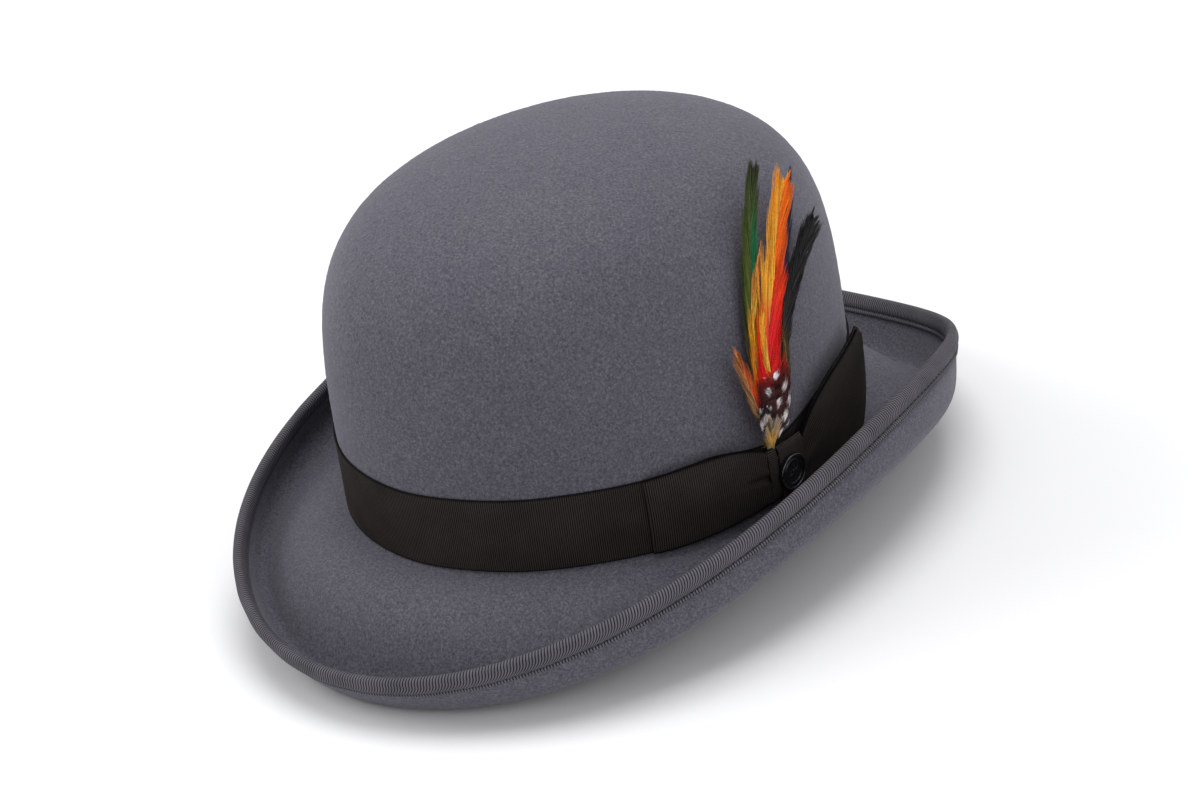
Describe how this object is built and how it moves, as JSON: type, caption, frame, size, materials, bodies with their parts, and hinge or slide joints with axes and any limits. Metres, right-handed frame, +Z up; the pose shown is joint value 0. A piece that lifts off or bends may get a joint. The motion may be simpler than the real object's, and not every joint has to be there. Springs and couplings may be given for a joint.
{
  "type": "bowler hat",
  "caption": "Stiff felt bowler hat with a round crown, rolled bound brim, ribbon band, side bow, round pin badge and a removable spray of dyed feathers.",
  "frame": {"origin": "on the surface that the hat stands on, under the middle of the hat's bounding box", "axes": "+Z up the crown, -Y towards the wearer's front, +X towards the wearer's left, where the bow is"},
  "size_m": [0.2378, 0.3172, 0.1525],
  "materials": {
    "felt": "dense wool felt, brushed nap",
    "binding_ribbon": "grosgrain ribbon, cross ribbed",
    "thread": "twisted sewing thread",
    "band_ribbon": "grosgrain ribbon, cross ribbed",
    "badge_metal": "black gunmetal enamel, satin",
    "steel": "drawn",
    "brass": "stamped",
    "quill": "keratin quills",
    "tie_thread": "waxed thread",
    "green_vane": "dyed feather",
    "olive_vane": "dyed feather",
    "orange_vane": "dyed feather",
    "yellow_vane": "dyed feather",
    "red_vane": "dyed feather",
    "blue_vane": "dyed feather",
    "black_vane": "dyed feather",
    "rust_vane": "natural hackle",
    "brown_vane": "natural hackle",
    "guinea_vane": "spotted feather, dark with pale dots",
    "barred_vane": "barred feather",
    "buff_down": "downy tuft",
    "sweat_leather": "smooth roan leather",
    "reed": "plain",
    "satin": "satin lining",
    "clear_patch": "clear film",
    "label": "woven tab, blank"
  },
  "bodies": {
    "hat": {"felt_body": "felt", "brim_binding": "binding_ribbon", "binding_stitching": "thread", "hatband": "band_ribbon", "bow_backing": "band_ribbon", "bow_front_loop": "band_ribbon", "bow_rear_tail": "band_ribbon", "bow_knot": "band_ribbon", "bow_knot_strip": "band_ribbon", "sweatband": "sweat_leather", "sweatband_reed": "reed", "sweatband_seam_tape": "band_ribbon", "sweatband_bow": "band_ribbon", "size_label": "label", "lining_side": "satin", "lining_tip": "satin", "lining_piping": "satin", "tip_patch": "clear_patch"},
    "badge": {"badge_disc": "badge_metal", "badge_rim": "badge_metal", "badge_boss": "badge_metal", "badge_post": "steel", "badge_clutch": "brass"},
    "feather_spray": {"feather_stem": "quill", "feather_tie": "tie_thread", "green_feather": "green_vane", "olive_feather": "olive_vane", "orange_feather": "orange_vane", "yellow_feather": "yellow_vane", "red_feather": "red_vane", "blue_feather": "blue_vane", "black_feather": "black_vane", "rust_hackle": "rust_vane", "side_hackle": "brown_vane", "guinea_feather": "guinea_vane", "barred_feather": "barred_vane", "buff_tuft": "buff_down"}
  },
  "joints": [
    {"name": "badge_turn", "type": "hinge", "parent": "hat", "child": "badge", "pos_m": [0.09515, -0.00796, 0.04356], "axis": [0.9981, -0.0621, 0], "continuous": true},
    {"name": "spray_pull", "type": "slide", "parent": "hat", "child": "feather_spray", "axis": [0, 0, 1], "range_m": [0, 0.045]}
  ]
}
